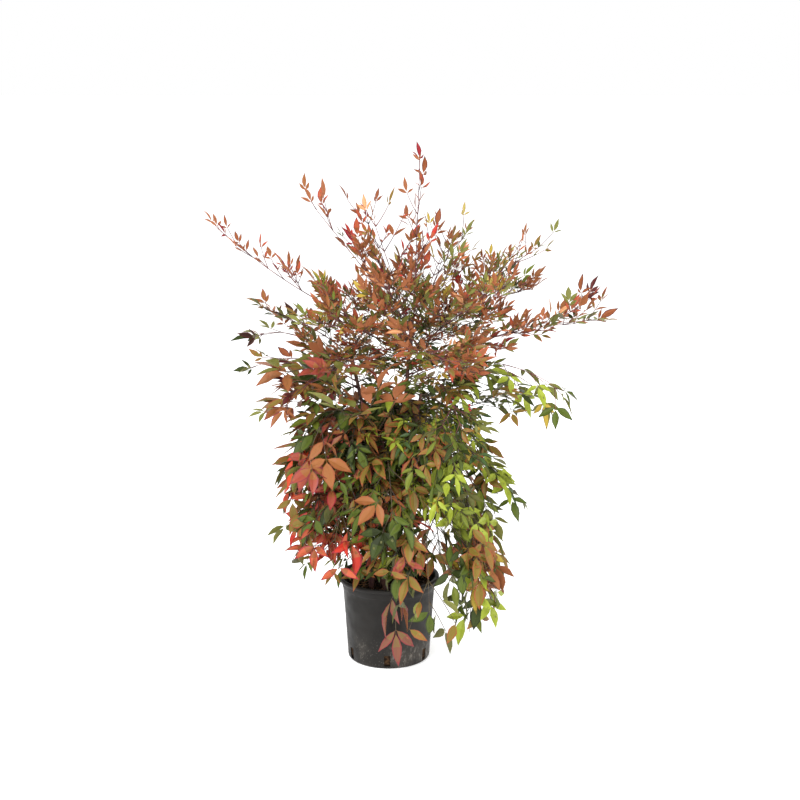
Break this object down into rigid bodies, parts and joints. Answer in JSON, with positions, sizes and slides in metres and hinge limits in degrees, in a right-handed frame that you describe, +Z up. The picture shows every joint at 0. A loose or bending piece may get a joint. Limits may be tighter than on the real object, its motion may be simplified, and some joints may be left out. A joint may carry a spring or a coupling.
{
  "type": "potted heavenly bamboo shrub",
  "caption": "Heavenly bamboo in a black nursery pot: slender upright canes, an airy crown of leaf sprays turning red and bronze, and a dense drooping skirt of green, lime and copper leaves.",
  "frame": {"origin": "centre of the pot's flat underside, on the ground", "axes": "+Z up along the pot's axis; -Y towards the viewer; the crown's longest sprays run along X, the far one and the lower hanging side towards +X"},
  "size_m": [1.0881, 0.7515, 1.4029],
  "materials": {
    "pot": "matte moulded plastic, dusty low down",
    "soil": "rough damp compost",
    "cane": "dull bark with rings at the nodes",
    "crown_leaf": "soft leaf gloss",
    "skirt_leaf": "soft leaf gloss",
    "berry": "glossy skin"
  },
  "bodies": {
    "root": {"pot": "pot", "soil": "soil", "cane_short_1": "cane", "cane_short_2": "cane", "cane_short_3": "cane", "cane_short_4": "cane", "cane_short_5": "cane", "cane_short_6": "cane", "cane_tall_left": "cane", "cane_tall_right": "cane", "berry_panicle": "berry", "crown_spray_01": "crown_leaf", "crown_spray_02": "crown_leaf", "crown_spray_03": "crown_leaf", "crown_spray_04": "crown_leaf", "crown_spray_05": "crown_leaf", "crown_spray_06": "crown_leaf", "crown_spray_07": "crown_leaf", "crown_spray_08": "crown_leaf", "crown_spray_09": "crown_leaf", "crown_spray_10": "crown_leaf", "crown_spray_11": "crown_leaf", "crown_spray_12": "crown_leaf", "crown_spray_13": "crown_leaf", "crown_spray_14": "crown_leaf", "crown_spray_15": "crown_leaf", "crown_spray_16": "crown_leaf", "crown_spray_17": "crown_leaf", "crown_spray_18": "crown_leaf", "crown_spray_19": "crown_leaf", "crown_spray_20": "crown_leaf", "crown_spray_21": "crown_leaf", "crown_spray_22": "crown_leaf", "crown_spray_23": "crown_leaf", "skirt_spray_24": "skirt_leaf", "skirt_spray_25": "skirt_leaf", "skirt_spray_26": "skirt_leaf", "skirt_spray_27": "skirt_leaf", "skirt_spray_28": "skirt_leaf", "skirt_spray_29": "skirt_leaf", "skirt_spray_30": "skirt_leaf", "skirt_spray_31": "skirt_leaf", "skirt_spray_32": "skirt_leaf", "skirt_spray_33": "skirt_leaf", "skirt_spray_34": "skirt_leaf", "skirt_spray_35": "skirt_leaf", "skirt_spray_36": "skirt_leaf", "skirt_spray_37": "skirt_leaf", "skirt_spray_38": "skirt_leaf", "skirt_spray_39": "skirt_leaf", "skirt_spray_40": "skirt_leaf", "skirt_spray_41": "skirt_leaf", "skirt_spray_42": "skirt_leaf", "skirt_spray_43": "skirt_leaf", "skirt_spray_44": "skirt_leaf", "skirt_spray_45": "skirt_leaf", "skirt_spray_46": "skirt_leaf", "skirt_spray_47": "skirt_leaf", "skirt_spray_48": "skirt_leaf"}
  },
  "joints": []
}
